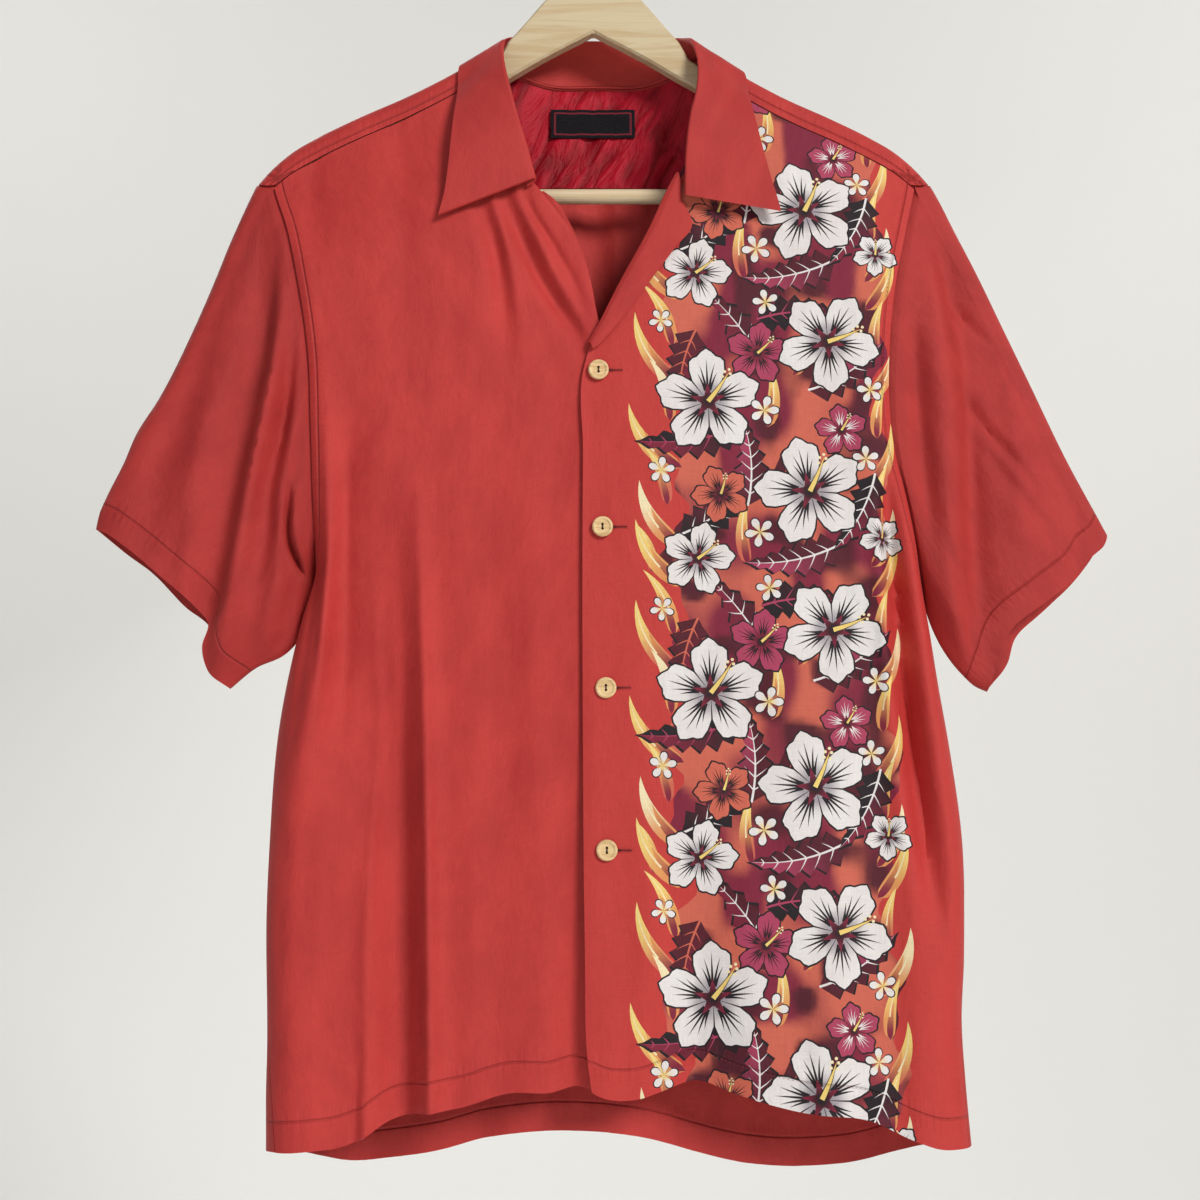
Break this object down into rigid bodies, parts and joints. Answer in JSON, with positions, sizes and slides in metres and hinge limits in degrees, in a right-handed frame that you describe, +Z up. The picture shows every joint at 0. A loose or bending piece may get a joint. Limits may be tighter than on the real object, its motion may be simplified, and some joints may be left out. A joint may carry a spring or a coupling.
{
  "type": "short-sleeved aloha shirt on a wooden hanger",
  "caption": "Red short-sleeved camp-collar aloha shirt with a printed border down one front, buttoned and hanging on a flat wooden hanger with a bar and steel hook.",
  "frame": {"origin": "The top of the inside of the hanger's hook, where a rail bears.", "axes": "+Z up, +X to the viewer's right, +Y away from the viewer. The shirt's front faces -Y."},
  "size_m": [0.695, 0.0817, 0.8996],
  "materials": {
    "red_cloth": "matt woven rayon",
    "red_satin": "shiny lining",
    "black_label": "woven",
    "button": "satin",
    "wood": "satin varnish",
    "steel": "plated wire"
  },
  "bodies": {
    "root": {"right_front": "red_cloth", "left_front": "red_cloth", "back": "red_cloth", "yoke": "red_cloth", "collar": "red_cloth", "left_lapel": "red_cloth", "right_facing": "red_cloth", "right_sleeve": "red_cloth", "left_sleeve": "red_cloth", "yoke_lining": "red_satin", "neck_label": "black_label", "button_1": "button", "button_2": "button", "button_3": "button", "button_4": "button", "hanger_arms": "wood", "hanger_bar": "wood", "hanger_hook": "steel"}
  },
  "joints": []
}
